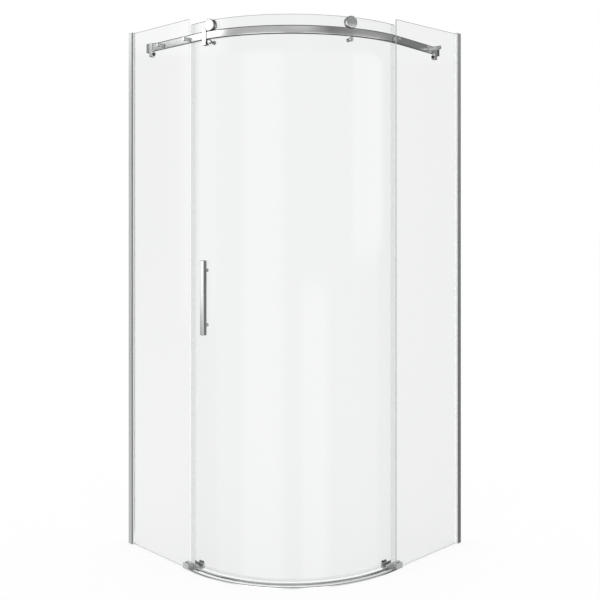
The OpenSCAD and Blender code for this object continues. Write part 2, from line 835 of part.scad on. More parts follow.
module handle_gaskets() {
    color("white", 0.6) for (s = [-1, 1]) {
        radial(a_handle, r_door_out, handle_z + s * post_pitch / 2)
            tube(post_r + 2, handle_screw_r + slip, gasket_t);
        radial(a_handle, handle_seat - gasket_t, handle_z + s * post_pitch / 2)
            tube(handle_head_r, handle_screw_r + slip, gasket_t);
    }
}

// Wheel: two flanges keep the tread on the rail, the bearing sits in its bore from behind
module wheel(a) {
    radial(a, wheel_back, wheel_z) rotate_extrude() difference() {
        union() {
            square([tread_r, wheel_w]);
            square([rim_r, flange_t]);
            translate([0, wheel_w - flange_t]) square([rim_r, flange_t]);
        }
        translate([0, -eps]) square([bearing_r - 2, wheel_w + 2 * eps]);
        translate([0, -eps]) square([bearing_r, (wheel_w + bearing_w) / 2 + eps]);
        translate([0, wheel_w - recess]) square([cap_r, 2 * recess]);
    }
}

// Polished cap: a disc in the wheel's front recess, with a plug in the bore
module wheel_cap(a) {
    radial(a, wheel_back + wheel_w - recess, wheel_z) rotate_extrude() {
        square([cap_r - slip - 0.5, recess + wheel_cap_t]);
        square([cap_r - slip, recess + wheel_cap_t - 0.5]);
        translate([cap_r - slip - 0.5, recess + wheel_cap_t - 0.5]) circle(r = 0.5, $fn = 24);
        translate([0, -plug_t]) square([bearing_r - 2 - slip, plug_t + eps]);
    }
}

module wheel_bearing(a) {
    radial(a, bearing_in, wheel_z) tube(bearing_r - 0.02, axle_r + 0.05, bearing_w);
}

module left_wheel() { color("silver") wheel(a_left); }
module left_wheel_cap() { color("whitesmoke") wheel_cap(a_left); }
module left_wheel_bearing() { color("dimgray") wheel_bearing(a_left); }
module right_wheel() { color("silver") wheel(a_right); }
module right_wheel_cap() { color("whitesmoke") wheel_cap(a_right); }
module right_wheel_bearing() { color("dimgray") wheel_bearing(a_right); }

left_wall_channel();
right_wall_channel();
left_glass_profile();
right_glass_profile();
left_pane_gasket();
right_pane_gasket();
profile_caps();
profile_screws();
left_fixed_pane();
right_fixed_pane();
left_foot_strip();
right_foot_strip();
rail();
rail_end_caps();
rail_bolts();
rail_spacers();
rail_gaskets();
glass_bushes();
left_end_stop();
door_stop();
right_end_stop();
stop_bumpers();
stop_screws();
threshold();
left_guide_clamp();
right_guide_clamp();
left_guide_block();
right_guide_block();
left_guide_tab();
right_guide_tab();
guide_screws();
door_pane();
left_edge_seal();
right_edge_seal();
door_sweep();
wheel_axles();
axle_nuts();
axle_bushes();
lift_discs();
lift_pins();
handle_bar();
handle_posts();
handle_screws();
handle_gaskets();
left_wheel();
left_wheel_cap();
left_wheel_bearing();
right_wheel();
right_wheel_cap();
right_wheel_bearing();
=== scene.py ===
import json
import math
import bpy
import bmesh
import numpy as np
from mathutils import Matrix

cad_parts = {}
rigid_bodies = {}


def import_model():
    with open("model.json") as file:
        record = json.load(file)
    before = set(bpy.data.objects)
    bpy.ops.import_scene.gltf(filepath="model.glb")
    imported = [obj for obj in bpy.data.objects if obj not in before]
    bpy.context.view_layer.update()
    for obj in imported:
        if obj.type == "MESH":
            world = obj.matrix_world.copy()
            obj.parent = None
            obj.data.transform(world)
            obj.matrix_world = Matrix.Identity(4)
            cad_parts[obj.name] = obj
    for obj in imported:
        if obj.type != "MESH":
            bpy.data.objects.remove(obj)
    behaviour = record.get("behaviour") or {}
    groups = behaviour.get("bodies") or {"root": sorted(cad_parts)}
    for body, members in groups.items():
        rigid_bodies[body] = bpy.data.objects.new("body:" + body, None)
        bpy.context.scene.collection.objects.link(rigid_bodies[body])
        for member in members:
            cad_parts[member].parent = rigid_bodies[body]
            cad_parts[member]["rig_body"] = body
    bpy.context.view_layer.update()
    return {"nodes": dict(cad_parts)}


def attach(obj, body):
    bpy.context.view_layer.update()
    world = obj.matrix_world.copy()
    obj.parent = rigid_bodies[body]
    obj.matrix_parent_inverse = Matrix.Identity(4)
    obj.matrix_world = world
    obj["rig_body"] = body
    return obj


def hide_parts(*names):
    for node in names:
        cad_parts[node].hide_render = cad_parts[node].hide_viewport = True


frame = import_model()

print("quadrant shower enclosure: frame loaded,", len(frame["nodes"]), "nodes")

# what several pieces share, in metres: the bend's centre, radii from it, and heights
plan = {
    "centre": (-0.050, 0.050),
    "half": 0.450,
    "corner": 0.500,
    "railOut": 0.483,
    "railIn": 0.473,
    "railTop": 1.896,
    "railBottom": 1.866,
    "doorOut": 0.467,
    "doorIn": 0.461,
    "wheelZ": 1.914,
    "discZ": 1.856,
}
# where the wheels and the handle sit on the bend, in degrees
wheelAngles = {"left": -81.3989, "right": -19.9988}
handleAngle = -85.705


# ---- shader helpers

class Signal:
    # a socket that takes part in Python sums; each operator adds its Math node
    def __init__(self, maker, socket):
        self.maker, self.socket = maker, socket

    def maths(self, operation, *others):
        return self.maker.add("ShaderNodeMath", {"operation": operation}, [self, *others])

    def __add__(self, other): return self.maths("ADD", other)
    def __radd__(self, other): return self.maths("ADD", other)
    def __sub__(self, other): return self.maths("SUBTRACT", other)
    def __mul__(self, other): return self.maths("MULTIPLY", other)
    def __rmul__(self, other): return self.maths("MULTIPLY", other)

    def __rsub__(self, other):
        return self.maker.add("ShaderNodeMath", {"operation": "SUBTRACT"}, [other, self])

    def clamped(self):
        return self.maker.add("ShaderNodeClamp", {}, [self, 0.0, 1.0])

    # 0 at low and 1 at high, with a soft step between; low may be the larger one
    def step(self, low, high):
        return self.maker.add("ShaderNodeMapRange", {"interpolation_type": "SMOOTHSTEP"},
                              {"Value": self, "From Min": low, "From Max": high})


class NodeMaker:
    def __init__(self, tree):
        self.tree = tree
        tree.nodes.clear()

    # settings are set first, then the values or links of the sockets
    def add(self, kind, settings, values, output=0):
        node = self.tree.nodes.new(kind)
        for key, value in settings.items():
            if key == "stops":
                self.setStops(node, value)
            else:
                setattr(node, key, value)
        pairs = values.items() if isinstance(values, dict) else enumerate(values)
        for key, value in pairs:
            self.fill(node.inputs[key], value)
        return Signal(self, node.outputs[output])

    def fill(self, socket, value):
        if isinstance(value, Signal):
            self.tree.links.new(value.socket, socket)
        else:
            socket.default_value = value

    def setStops(self, node, stops):
        elements = node.color_ramp.elements
        while len(elements) < len(stops):
            elements.new(0.5)
        for element, (place, colour) in zip(elements, stops):
            element.position, element.color = place, (*colour, 1.0)

    # another output of the node that a signal comes from
    def other(self, signal, output):
        return Signal(self, signal.socket.node.outputs[output])

    # of the Mix node's sockets, 6 and 7 are its colours, and output 2 is the mixed one
    def mix(self, factor, first, second):
        return self.add("ShaderNodeMix", {"data_type": "RGBA"},
                        {0: factor, 6: (*first, 1.0), 7: (*second, 1.0)}, 2)

    def coordinates(self, scale=(1, 1, 1), source="Object"):
        base = self.add("ShaderNodeTexCoord", {}, [], source)
        return self.add("ShaderNodeMapping", {}, {"Vector": base, "Scale": scale})

    def noise(self, vector, scale, detail=2.0, roughness=0.5):
        return self.add("ShaderNodeTexNoise", {}, {
            "Vector": vector, "Scale": scale, "Detail": detail, "Roughness": roughness})

    def bump(self, strength, distance, height):
        return self.add("ShaderNodeBump", {}, {
            "Strength": strength, "Distance": distance, "Height": height})

    # 1 where a ray meets the face that points outwards, and 0 behind it
    def front(self):
        return 1 - self.add("ShaderNodeNewGeometry", {}, [], "Backfacing")

    def finish(self, shader, kind="ShaderNodeOutputMaterial"):
        output = self.tree.nodes.new(kind)
        self.tree.links.new(shader.socket, output.inputs["Surface"])


def newMaterial(name):
    material = bpy.data.materials.new(name)
    material.use_nodes = True
    return material, NodeMaker(material.node_tree)


# ---- mesh helpers

# distances in metres and angles in degrees; a piece shades smooth up to its crease
meshing = {"join": 1e-7, "crease": 32.0, "drilledCrease": 14.0, "drillReach": 0.03,
           "drillSides": 48}
softening = {"join": 2e-6, "flat": 0.4, "sharp": 35.0, "crease": 40.0, "segments": 2}


# Shades a piece smooth up to the angle, with its corner normals weighted by the faces' areas
def shadePiece(piece, crease):
    piece.data.shade_smooth()
    piece.data.set_sharp_from_angle(angle=math.radians(crease))
    change = piece.modifiers.new("areaNormals", "WEIGHTED_NORMAL")
    change.mode, change.keep_sharp = "FACE_AREA", True


def linkPiece(name, mesh):
    piece = bpy.data.objects.new(name, mesh)
    bpy.context.scene.collection.objects.link(piece)
    return piece


# One object from vertices, faces and one (u, v) pair per face corner; where its volume comes out
# negative, all its faces are turned round
def meshObject(name, vertices, faces, corners, material):
    mesh = bpy.data.meshes.new(name)
    mesh.from_pydata(np.asarray(vertices).tolist(), [], faces)
    if corners is not None:
        layer = mesh.uv_layers.new(name="surface")
        layer.data.foreach_set("uv", np.asarray(corners, np.float32).ravel())
    work = bmesh.new()
    work.from_mesh(mesh)
    bmesh.ops.remove_doubles(work, verts=work.verts, dist=meshing["join"])
    if work.calc_volume(signed=True) < 0:
        bmesh.ops.reverse_faces(work, faces=work.faces)
    work.to_mesh(mesh)
    work.free()
    if material:
        mesh.materials.append(material)
    piece = linkPiece(name, mesh)
    shadePiece(piece, meshing["crease"])
    return piece


# Row and column of each quad of a grid of points, and its four corners; the columns close on
# themselves, and the rows do in a ring
def gridQuads(rows, columns, ring=False):
    i, j = np.meshgrid(np.arange(rows if ring else rows - 1), np.arange(columns), indexing="ij")
    i, j = i.ravel(), j.ravel()
    nextI, nextJ = (i + 1) % rows, (j + 1) % columns
    corners = [i * columns + j, nextI * columns + j, nextI * columns + nextJ, i * columns + nextJ]
    return i, j, np.stack(corners, 1)


# The faces that close such a grid at its first and last row
def endFaces(rows, columns):
    first = np.arange(columns)
    return [first[::-1].tolist(), (first + (rows - 1) * columns).tolist()]


# Distance travelled along a line at each of its points
def runLength(points):
    return np.concatenate([[0], np.cumsum(np.linalg.norm(np.diff(points, axis=0), axis=1))])


# A closed section carried along a path: each point is the path's point, plus the section's first
# coordinate times the outward direction there, plus its second times the upward direction
def sweepSection(name, section, path, out, up, material):
    section, path = np.asarray(section, float), np.asarray(path, float)
    out = np.broadcast_to(np.asarray(out, float), path.shape)
    up = np.broadcast_to(np.asarray(up, float), path.shape)
    points = (path[:, None] + section[None, :, :1] * out[:, None]
              + section[None, :, 1:] * up[:, None])
    rows, columns = len(path), len(section)
    along, around = runLength(path), runLength(np.vstack([section, section[:1]]))
    i, j, quads = gridQuads(rows, columns)
    u0, u1, v0, v1 = along[i], along[i + 1], around[j], around[j + 1]
    uv = np.stack([u0, v0, u1, v0, u1, v1, u0, v1], 1).reshape(-1, 2)
    # the two ends lie beside the run in the UV map
    uv = np.vstack([uv, section[::-1] - [1, 0], section + [along[-1] + 1, 0]])
    faces = quads.tolist() + endFaces(rows, columns)
    return meshObject(name, points.reshape(-1, 3), faces, uv, material)


# A profile of (radius, distance along the axis) turned round a level axis: each point is the
# centre, plus the distance times the axis, plus the radius times the direction at its turn
def turnProfile(name, profile, centre, axis, material, steps):
    profile = np.asarray(profile, float)
    axis = np.asarray(axis, float) / np.linalg.norm(axis)
    side = np.cross(axis, [0, 0, 1.0])
    side = side / np.linalg.norm(side)
    cross = np.cross(axis, side)
    turn = np.linspace(0, 2 * np.pi, steps, endpoint=False)
    ring = np.cos(turn)[:, None] * side + np.sin(turn)[:, None] * cross
    points = (np.asarray(centre, float) + profile[None, :, 1:] * axis
              + profile[None, :, :1] * ring[:, None])
    i, j, quads = gridQuads(steps, len(profile), ring=True)
    around = runLength(np.vstack([profile, profile[:1]]))
    u0, u1, v0, v1 = i / steps, (i + 1) / steps, around[j], around[j + 1]
    uv = np.stack([u0, v0, u1, v0, u1, v1, u0, v1], 1)
    # a quad with both its radii on the axis is left out
    onAxis = profile[:, 0] < 1e-9
    keep = ~(onAxis[j] & np.roll(onAxis, -1)[j])
    return meshObject(name, points.reshape(-1, 3), quads[keep].tolist(),
                      uv[keep].reshape(-1, 2), material)


# Corners of a polygon rounded: each becomes an arc of the given radius that touches both its
# sides, cut by (steps + 1) points
def roundCorners(points, radius, steps):
    points = np.asarray(points, float)
    before, after = np.roll(points, 1, axis=0), np.roll(points, -1, axis=0)
    a = (before - points) / np.linalg.norm(before - points, axis=1, keepdims=True)
    b = (after - points) / np.linalg.norm(after - points, axis=1, keepdims=True)
    radius = np.broadcast_to(np.asarray(radius, float), len(points))
    halfAngle = np.arccos(np.clip((a * b).sum(1), -1, 1)) / 2
    reach = (radius / np.tan(halfAngle))[:, None]
    inwards = (a + b) / np.linalg.norm(a + b, axis=1, keepdims=True)
    middle = points + inwards * (radius / np.sin(halfAngle))[:, None]
    first, last = points + a * reach - middle, points + b * reach - middle
    part = np.linspace(0, 1, steps + 1)[None, :, None]
    blend = first[:, None] * (1 - part) + last[:, None] * part
    size = np.linalg.norm(blend, axis=2, keepdims=True)
    return (middle[:, None] + blend / size * radius[:, None, None]).reshape(-1, 2)


def rectangle(x0, y0, x1, y1):
    return [(x0, y0), (x1, y0), (x1, y1), (x0, y1)]


# Points on the bend at a radius: the centre plus the radius times the outward direction, which
# is the cosine and the sine of the angle; a step is the widest angle between two points
def arcPath(radius, startDegrees, endDegrees, z, stepDegrees):
    count = int(math.ceil(abs(endDegrees - startDegrees) / stepDegrees)) + 1
    angle = np.radians(np.linspace(startDegrees, endDegrees, count))
    outward = np.stack([np.cos(angle), np.sin(angle), np.zeros(count)], 1)
    return np.array([*plan["centre"], z]) + radius * outward, outward


# One such point, with the outward direction there
def radialPoint(degrees, radius, z):
    a = math.radians(degrees)
    axis = np.array([math.cos(a), math.sin(a), 0.0])
    return np.array([*plan["centre"], z]) + radius * axis, axis


# Cuts round holes, each given as (centre, axis, radius), through a piece that is in place
def drillHoles(piece, holes):
    reach = meshing["drillReach"]
    piece.modifiers.clear()
    for centre, axis, radius in holes:
        profile = [(0, -reach), (radius, -reach), (radius, reach), (0, reach)]
        cutter = turnProfile("holeCutter", profile, centre, axis, None, meshing["drillSides"])
        cutter.modifiers.clear()
        change = piece.modifiers.new("hole", "BOOLEAN")
        change.operation, change.object, change.solver = "DIFFERENCE", cutter, "EXACT"
        graph = bpy.context.evaluated_depsgraph_get()
        cut = bpy.data.meshes.new_from_object(piece.evaluated_get(graph))
        piece.modifiers.clear()
        old, piece.data = piece.data, cut
        bpy.data.meshes.remove(old)
        bpy.data.objects.remove(cutter)
    shadePiece(piece, meshing["drilledCrease"])


# Puts a piece on its body in place of these nodes, which are hidden
def settle(piece, body, nodes):
    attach(piece, body)
    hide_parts(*nodes)


# A merged copy of a CAD node with its sharp edges rounded, which then stands for that node
def softenNode(node, name, material, width):
    source = frame["nodes"][node]
    s = softening
    mesh = bpy.data.meshes.new(name)
    work = bmesh.new()
    work.from_mesh(source.data)
    bmesh.ops.remove_doubles(work, verts=work.verts, dist=s["join"])
    bmesh.ops.dissolve_limit(work, angle_limit=math.radians(s["flat"]), verts=work.verts,
                             edges=work.edges)
    sharp = [e for e in work.edges
             if len(e.link_faces) == 2 and e.calc_face_angle(0) > math.radians(s["sharp"])]
    if width > 0 and sharp:
        bmesh.ops.bevel(work, geom=sharp, offset=width, segments=s["segments"], profile=0.5,
                        affect="EDGES", clamp_overlap=True)
    work.to_mesh(mesh)
    work.free()
    mesh.materials.clear()
    mesh.materials.append(material)
    piece = linkPiece(name, mesh)
    shadePiece(piece, s["crease"])
    settle(piece, source["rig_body"], [node])


# ---- materials

glassLook = {"doorGlass": (0.938, 0.944, 0.941), "paneGlass": (0.953, 0.958, 0.955), "ior": 1.45,
             "roughness": 0.03, "ripple": 0.012, "rippleDepth": 0.002, "rippleScale": 5.0,
             "stretch": (1.0, 1.0, 0.25)}


# Thin clear glass: most light goes straight through a faint tint, and the rest is mirrored by
# Fresnel's law; a pane mirrors at its front face alone, so that nothing is caught inside
def makeGlass(name):
    s = glassLook
    material, make = newMaterial(name)
    through = make.add("ShaderNodeBsdfTransparent", {}, {"Color": (*s[name], 1.0)})
    wave = make.noise(make.coordinates(s["stretch"]), s["rippleScale"], 1.0)
    mirror = make.add("ShaderNodeBsdfAnisotropic", {"distribution": "GGX"}, {
        "Color": (1, 1, 1, 1), "Roughness": s["roughness"],
        "Normal": make.bump(s["ripple"], s["rippleDepth"], wave)})
    share = make.add("ShaderNodeFresnel", {}, {"IOR": s["ior"]}) * make.front()
    make.finish(make.add("ShaderNodeMixShader", {}, {0: share.clamped(), 1: through, 2: mirror}))
    return material


# how solid a rim looks on its upright edges, and on level ones under the heights of rimLook
# the right pane's greyRim is drawn far more solid than the left pane's clearRim on the same glass:
# painted shade on its edge
rimLooks = {"clearRim": (0.12, 0.45), "doorRim": (0.12, 0.05), "greyRim": (0.80, 0.45)}
rimLook = {"dark": (0.36, 0.41, 0.39), "pale": (0.46, 0.51, 0.49), "grain": 700.0,
           "roughness": 0.25, "ior": 1.5, "above": 0.85, "heights": (0.9, 1.0),
           "level": (0.3, 0.7)}


# Ground rim of a pane: a grey-green frosted edge; how solid it is drawn depends on whether the face
# lies level, and there on its height: level rims above the heights are drawn more solid, as painted
# shade
def makeRim(name, upright, lower):
    s = rimLook
    material, make = newMaterial(name)
    place = make.coordinates()
    height = make.other(make.add("ShaderNodeSeparateXYZ", {}, [place]), 2)
    normal = make.add("ShaderNodeNewGeometry", {}, [], "Normal")
    level = make.other(make.add("ShaderNodeSeparateXYZ", {}, [normal]), 2).maths("ABSOLUTE")
    # painted shade: level rims above the heights are drawn more solid, so darker, than those below
    rise = height.step(*s["heights"]) * (s["above"] - lower) + (lower - upright)
    make.finish(make.add("ShaderNodeBsdfPrincipled", {}, {
        "Base Color": make.mix(make.noise(place, s["grain"], 2.0), s["dark"], s["pale"]),
        "Roughness": s["roughness"], "IOR": s["ior"],
        "Alpha": level.step(*s["level"]) * rise + upright}))
    return material


# colour, roughness, how the noise is stretched, how strong its lines are, how metallic, and
# whether the lines follow the surface (UV) or the object
metalLooks = {
    "brushedRail": ((0.66, 0.67, 0.66), 0.085, (2.5, 900, 1), 0.12, 1.0, "UV"),
    "polishedSteel": ((0.78, 0.79, 0.79), 0.10, (120, 120, 120), 0.12, 1.0, "Object"),
    "satinSteel": ((0.30, 0.31, 0.31), 0.30, (300, 300, 300), 0.12, 1.0, "Object"),
    "brightProfile": ((0.80, 0.81, 0.82), 0.24, (1400, 1400, 3), 0.25, 1.0, "Object"),
    "greyProfile": ((0.66, 0.67, 0.67), 0.42, (1400, 1400, 3), 0.25, 0.5, "Object"),
    # the two glass profiles are one metal drawn as two copies: the first holds painted shade, the
    # second painted light
    "darkProfile": ((0.26, 0.27, 0.27), 0.42, (1400, 1400, 3), 0.25, 0.5, "Object"),
    "paleProfile": ((0.92, 0.93, 0.93), 0.42, (1400, 1400, 3), 0.25, 0.3, "Object"),
    "sillMetal": ((0.74, 0.75, 0.75), 0.14, (3, 1100, 1), 0.15, 1.0, "UV"),
    "turnedSteel": ((0.74, 0.75, 0.75), 0.14, (1, 4000, 1), 0.25, 1.0, "UV"),
    "paleSteel": ((0.84, 0.85, 0.85), 0.40, (300, 300, 300), 0.12, 0.5, "Object"),
    "wheelSteel": ((0.62, 0.63, 0.63), 0.30, (1, 4000, 1), 0.25, 1.0, "UV"),
}
metalWear = {"darker": 0.35, "paler": 0.1, "lineRough": 0.25, "cloudRough": 0.06,
             "cloudScale": 6.0, "lineDepth": 0.00002}


# Metal with fine lines: noise stretched along one direction moves the roughness, the colour and
# the bump, and a wide noise moves the roughness a little more
def makeMetal(name, colour, roughness, stretch, lines, metallic, source):
    s = metalWear
    material, make = newMaterial(name)
    fine = make.noise(make.coordinates(stretch, source), 1.0, 3.0, 0.6)
    cloud = make.noise(make.coordinates(), s["cloudScale"])
    low, high = [tuple(c * k for c in colour)
                 for k in (1 - s["darker"] * lines, 1 + s["paler"] * lines)]
    rough = (fine - 0.5) * (lines * s["lineRough"]) + (cloud - 0.5) * s["cloudRough"] + roughness
    make.finish(make.add("ShaderNodeBsdfPrincipled", {}, {
        "Base Color": make.mix(fine, low, high), "Metallic": metallic,
        "Roughness": rough.clamped(), "Normal": make.bump(lines, s["lineDepth"], fine)}))
    return material


# colour, roughness, the grain's scale, how strong it is, and a glow; on pale rubber the glow is
# painted light that brightens the gaskets where they sit in shade in their slots
plasticLooks = {
    "blackRubber": ((0.012, 0.012, 0.013), 0.55, 900.0, 0.2, 0.0),
    "whitePlastic": ((0.80, 0.80, 0.78), 0.35, 700.0, 0.05, 0.0),
    # pale rubber's glow is painted light: the gaskets light themselves, though they are no lamp
    "paleRubber": ((0.93, 0.93, 0.92), 0.50, 800.0, 0.03, 0.25),
    "paleCap": ((0.84, 0.85, 0.85), 0.40, 900.0, 0.03, 0.0),
    "greyPlastic": ((0.46, 0.47, 0.47), 0.35, 1200.0, 0.2, 0.0),
}
plasticGrain = {"rough": 0.2, "bump": 0.3, "depth": 0.00005}


# Plastic or rubber: a speckle in the colour and the roughness, a fine bump, and a painted glow where
# one is given
def makePlastic(name, colour, roughness, grainScale, grain, glow):
    s = plasticGrain
    material, make = newMaterial(name)
    speckle = make.noise(make.coordinates(), grainScale, 3.0)
    low, high = [tuple(min(1.0, c * k) for c in colour) for k in (1 - grain, 1 + grain)]
    make.finish(make.add("ShaderNodeBsdfPrincipled", {}, {
        "Base Color": make.mix(speckle, low, high),
        "Roughness": ((speckle - 0.5) * s["rough"] + roughness).clamped(),
        "Normal": make.bump(s["bump"], s["depth"], speckle),
        # the glow is painted light, a self-lit surface on parts that are no lamp
        "Emission Color": (1, 1, 1, 1), "Emission Strength": glow}))
    return material


sealLook = {"tint": (0.984, 0.986, 0.985), "gloss": (0.86, 0.88, 0.87), "roughness": 0.2,
            "ior": 1.5, "stretch": (300, 300, 0.5), "bump": 0.03, "depth": 0.0002}


# Clear soft seal: see-through like the glass, with a wider sheen and long lines from the die
def makeSeal(name):
    s = sealLook
    material, make = newMaterial(name)
    through = make.add("ShaderNodeBsdfTransparent", {}, {"Color": (*s["tint"], 1.0)})
    lines = make.noise(make.coordinates(s["stretch"]), 1.0, 1.0)
    gloss = make.add("ShaderNodeBsdfPrincipled", {}, {
        "Base Color": (*s["gloss"], 1), "Roughness": s["roughness"],
        "Normal": make.bump(s["bump"], s["depth"], lines)})
    share = make.add("ShaderNodeFresnel", {}, {"IOR": s["ior"]}) * make.front()
    make.finish(make.add("ShaderNodeMixShader", {}, {0: share.clamped(), 1: through, 2: gloss}))
    return material


finishes = {name: makeGlass(name) for name in ("doorGlass", "paneGlass")}
for looks, makeFinish in ((rimLooks, makeRim), (metalLooks, makeMetal), (plasticLooks, makePlastic)):
    for name, look in looks.items():
        finishes[name] = makeFinish(name, *look)
finishes["clearSeal"] = makeSeal("clearSeal")
print("materials made")


# ---- glass

paneSizes = {"thickness": 0.006, "rimRound": 0.0012, "inset": 0.004, "start": -0.4347,
             "length": 0.376, "bottom": 0.003, "top": 1.947, "holeRadius": 0.006,
             "boltZ": 1.881, "leftBolts": (0.188, 0.348), "rightBolts": (0.128, 0.362)}
doorSizes = {"lap": 6.6, "bottom": 0.012, "top": 1.936, "rimRound": 0.0012, "axleHole": 0.007,
             "pinHole": 0.004, "handleHole": 0.004, "handleHeights": (0.868, 1.060),
             "step": 1.2}
# how far a face's normal may lean from the sheet's: past the first it is rim, and within the
# second it is the sheet itself; both are cosines
lean = {"rim": 0.8, "sheet": 0.998}


# Gives the rim material to the faces that stand across the pane
def markRim(piece, rim, isRim):
    mesh = piece.data
    mesh.materials.append(rim)
    normals, centres = np.zeros((2, len(mesh.polygons) * 3))
    mesh.polygons.foreach_get("normal", normals)
    mesh.polygons.foreach_get("center", centres)
    index = isRim(normals.reshape(-1, 3), centres.reshape(-1, 3)).astype(np.int32)
    mesh.polygons.foreach_set("material_index", index)
    mesh.update()


# A flat pane in the left wall's channel; the right one is the same, with (x, y) taken to (-y, -x)
def makeFixedPane(name, node, bolts, rim, swap):
    s = paneSizes

    def placed(points):
        return np.stack([-points[:, 1], -points[:, 0]], 1) if swap else points

    near = -plan["half"] + s["inset"]
    outline = rectangle(s["start"], near, -plan["half"] + s["length"], near + s["thickness"])
    section = placed(roundCorners(outline, s["rimRound"], 3))
    path = [[0, 0, s["bottom"]], [0, 0, s["top"]]]
    piece = sweepSection(name, section, path, (1, 0, 0), (0, 1, 0), finishes["paneGlass"])
    axis, across = ((1.0, 0, 0), 0) if swap else ((0, 1.0, 0), 1)
    spots = placed(np.array([[-plan["half"] + distance, near + s["thickness"] / 2]
                             for distance in bolts]))
    drillHoles(piece, [((*spot, s["boltZ"]), axis, s["holeRadius"]) for spot in spots])

    def isRim(normals, centres):
        return np.abs(normals[:, across]) < lean["rim"]

    markRim(piece, finishes[rim], isRim)
    settle(piece, "frame", [node])


# True normals on the bent sheet: at each corner of its two large faces the normal is the
# direction from the bend's axis to that corner, or against it on the inner face
def roundNormals(piece):
    mesh = piece.data
    piece.modifiers.clear()
    vertex = np.zeros(len(mesh.loops), int)
    totals = np.zeros(len(mesh.polygons), int)
    places, normals = np.zeros(len(mesh.vertices) * 3), np.zeros(len(mesh.polygons) * 3)
    mesh.loops.foreach_get("vertex_index", vertex)
    mesh.vertices.foreach_get("co", places)
    mesh.polygons.foreach_get("normal", normals)
    mesh.polygons.foreach_get("loop_total", totals)
    owner = np.repeat(np.arange(len(totals)), totals)
    outwards = places.reshape(-1, 3)[vertex] - [*plan["centre"], 0]
    outwards[:, 2] = 0
    outwards /= np.linalg.norm(outwards, axis=1, keepdims=True)
    facing = (normals.reshape(-1, 3)[owner] * outwards).sum(1)
    true = outwards * (np.sign(facing) * (np.abs(facing) > lean["sheet"]))[:, None]
    mesh.normals_split_custom_set(true.tolist())


def makeDoorPane():
    s = doorSizes
    path, outward = arcPath(plan["doorOut"], -90 - s["lap"], s["lap"], 0.0, s["step"])
    outline = rectangle(plan["doorIn"] - plan["doorOut"], s["bottom"], 0, s["top"])
    section = roundCorners(outline, s["rimRound"], 3)
    piece = sweepSection("doorGlass", section, path, outward, (0, 0, 1), finishes["doorGlass"])
    middle = (plan["doorIn"] + plan["doorOut"]) / 2
    holes = []
    for angle in wheelAngles.values():
        for z, radius in ((plan["wheelZ"], s["axleHole"]), (plan["discZ"], s["pinHole"])):
            holes.append((*radialPoint(angle, middle, z), radius))
    for z in s["handleHeights"]:
        holes.append((*radialPoint(handleAngle, middle, z), s["handleHole"]))
    drillHoles(piece, holes)

    def isRim(normals, centres):
        outwards = centres[:, :2] - np.array(plan["centre"])
        outwards /= np.linalg.norm(outwards, axis=1, keepdims=True)
        return np.abs((normals[:, :2] * outwards).sum(1)) < lean["rim"]

    markRim(piece, finishes["doorRim"], isRim)
    roundNormals(piece)
    settle(piece, "door", ["door_pane"])


makeFixedPane("leftFixedGlass", "left_fixed_pane", paneSizes["leftBolts"], "clearRim", False)
makeFixedPane("rightFixedGlass", "right_fixed_pane", paneSizes["rightBolts"], "greyRim", True)
makeDoorPane()
print("glass made")


# ---- rail

# the runs are the straight parts, and over is how far the bend goes on past a right angle
railSizes = {"round": 0.0042, "leftRun": 0.300, "rightRun": 0.275153, "over": 8.0, "step": 1.0}


# A rounded bar along a straight run, the bend and a straight run that leaves it at its tangent
def makeRail():
    s = railSizes
    middle = (plan["railIn"] + plan["railOut"]) / 2
    thick, tall = plan["railOut"] - plan["railIn"], plan["railTop"] - plan["railBottom"]
    bend, outward = arcPath(middle, -90, s["over"],
                            (plan["railBottom"] + plan["railTop"]) / 2, s["step"])
    over = math.radians(s["over"])
    left = bend[0] - np.array([s["leftRun"], 0, 0])
    right = bend[-1] + s["rightRun"] * np.array([-math.sin(over), math.cos(over), 0])
    path = np.vstack([left, bend, right])
    outward = np.vstack([outward[:1], outward, outward[-1:]])
    section = roundCorners(rectangle(-thick / 2, -tall / 2, thick / 2, tall / 2), s["round"], 5)
    piece = sweepSection("railBar", section, path, outward, (0, 0, 1), finishes["brushedRail"])
    settle(piece, "frame", ["rail"])


makeRail()


# ---- wheels

# radii and depths; the slope is the turned edge round the outer face: (radius lost, depth)
wheelSizes = {"tread": 0.0177, "rim": 0.0215, "width": 0.0178, "flange": 0.0015, "edge": 0.0003,
              "bore": 0.009, "seat": 0.011, "seatDepth": 0.0124, "slopeStart": 0.0011,
              "slope": (0.0002, 0.0008), "lip": 0.0003, "gap": 0.0001, "recess": 0.0007,
              "capRadius": 0.0199, "capProud": 0.0006, "capEdge": 0.0012, "dome": 0.0002,
              "plug": 0.003, "sides": 96}
bearingSizes = {"bore": 0.00405, "inner": 0.0057, "shield": (0.0060, 0.0085), "outer": 0.0088,
                "rim": 0.01098, "back": 0.0054, "front": 0.0124, "sink": 0.0004, "sides": 64}


# The body's outline from its back to its outer face: a flange, the tread, a flange, the seat
def wheelOutline():
    s = wheelSizes
    w, e, flange, gap = s["width"], s["edge"], s["flange"], s["gap"]
    return [(s["seat"], 0), (s["rim"] - e, 0), (s["rim"], e), (s["rim"], flange - e),
            (s["rim"] - e, flange), (s["tread"] + e, flange + 2 * e),
            (s["tread"], flange + 4 * e), (s["tread"], w - flange - 4 * e),
            (s["tread"] + e, w - flange - 2 * e), (s["rim"] - e, w - flange),
            (s["rim"], w - flange + e), (s["rim"], w - s["slopeStart"]),
            (s["rim"] - s["slope"][0], w - s["slope"][1]), (s["capRadius"] + s["lip"], w),
            (s["capRadius"] + gap, w - gap), (s["capRadius"] + gap, w - s["recess"]),
            (s["bore"], w - s["recess"]), (s["bore"], s["seatDepth"]),
            (s["seat"], s["seatDepth"])]


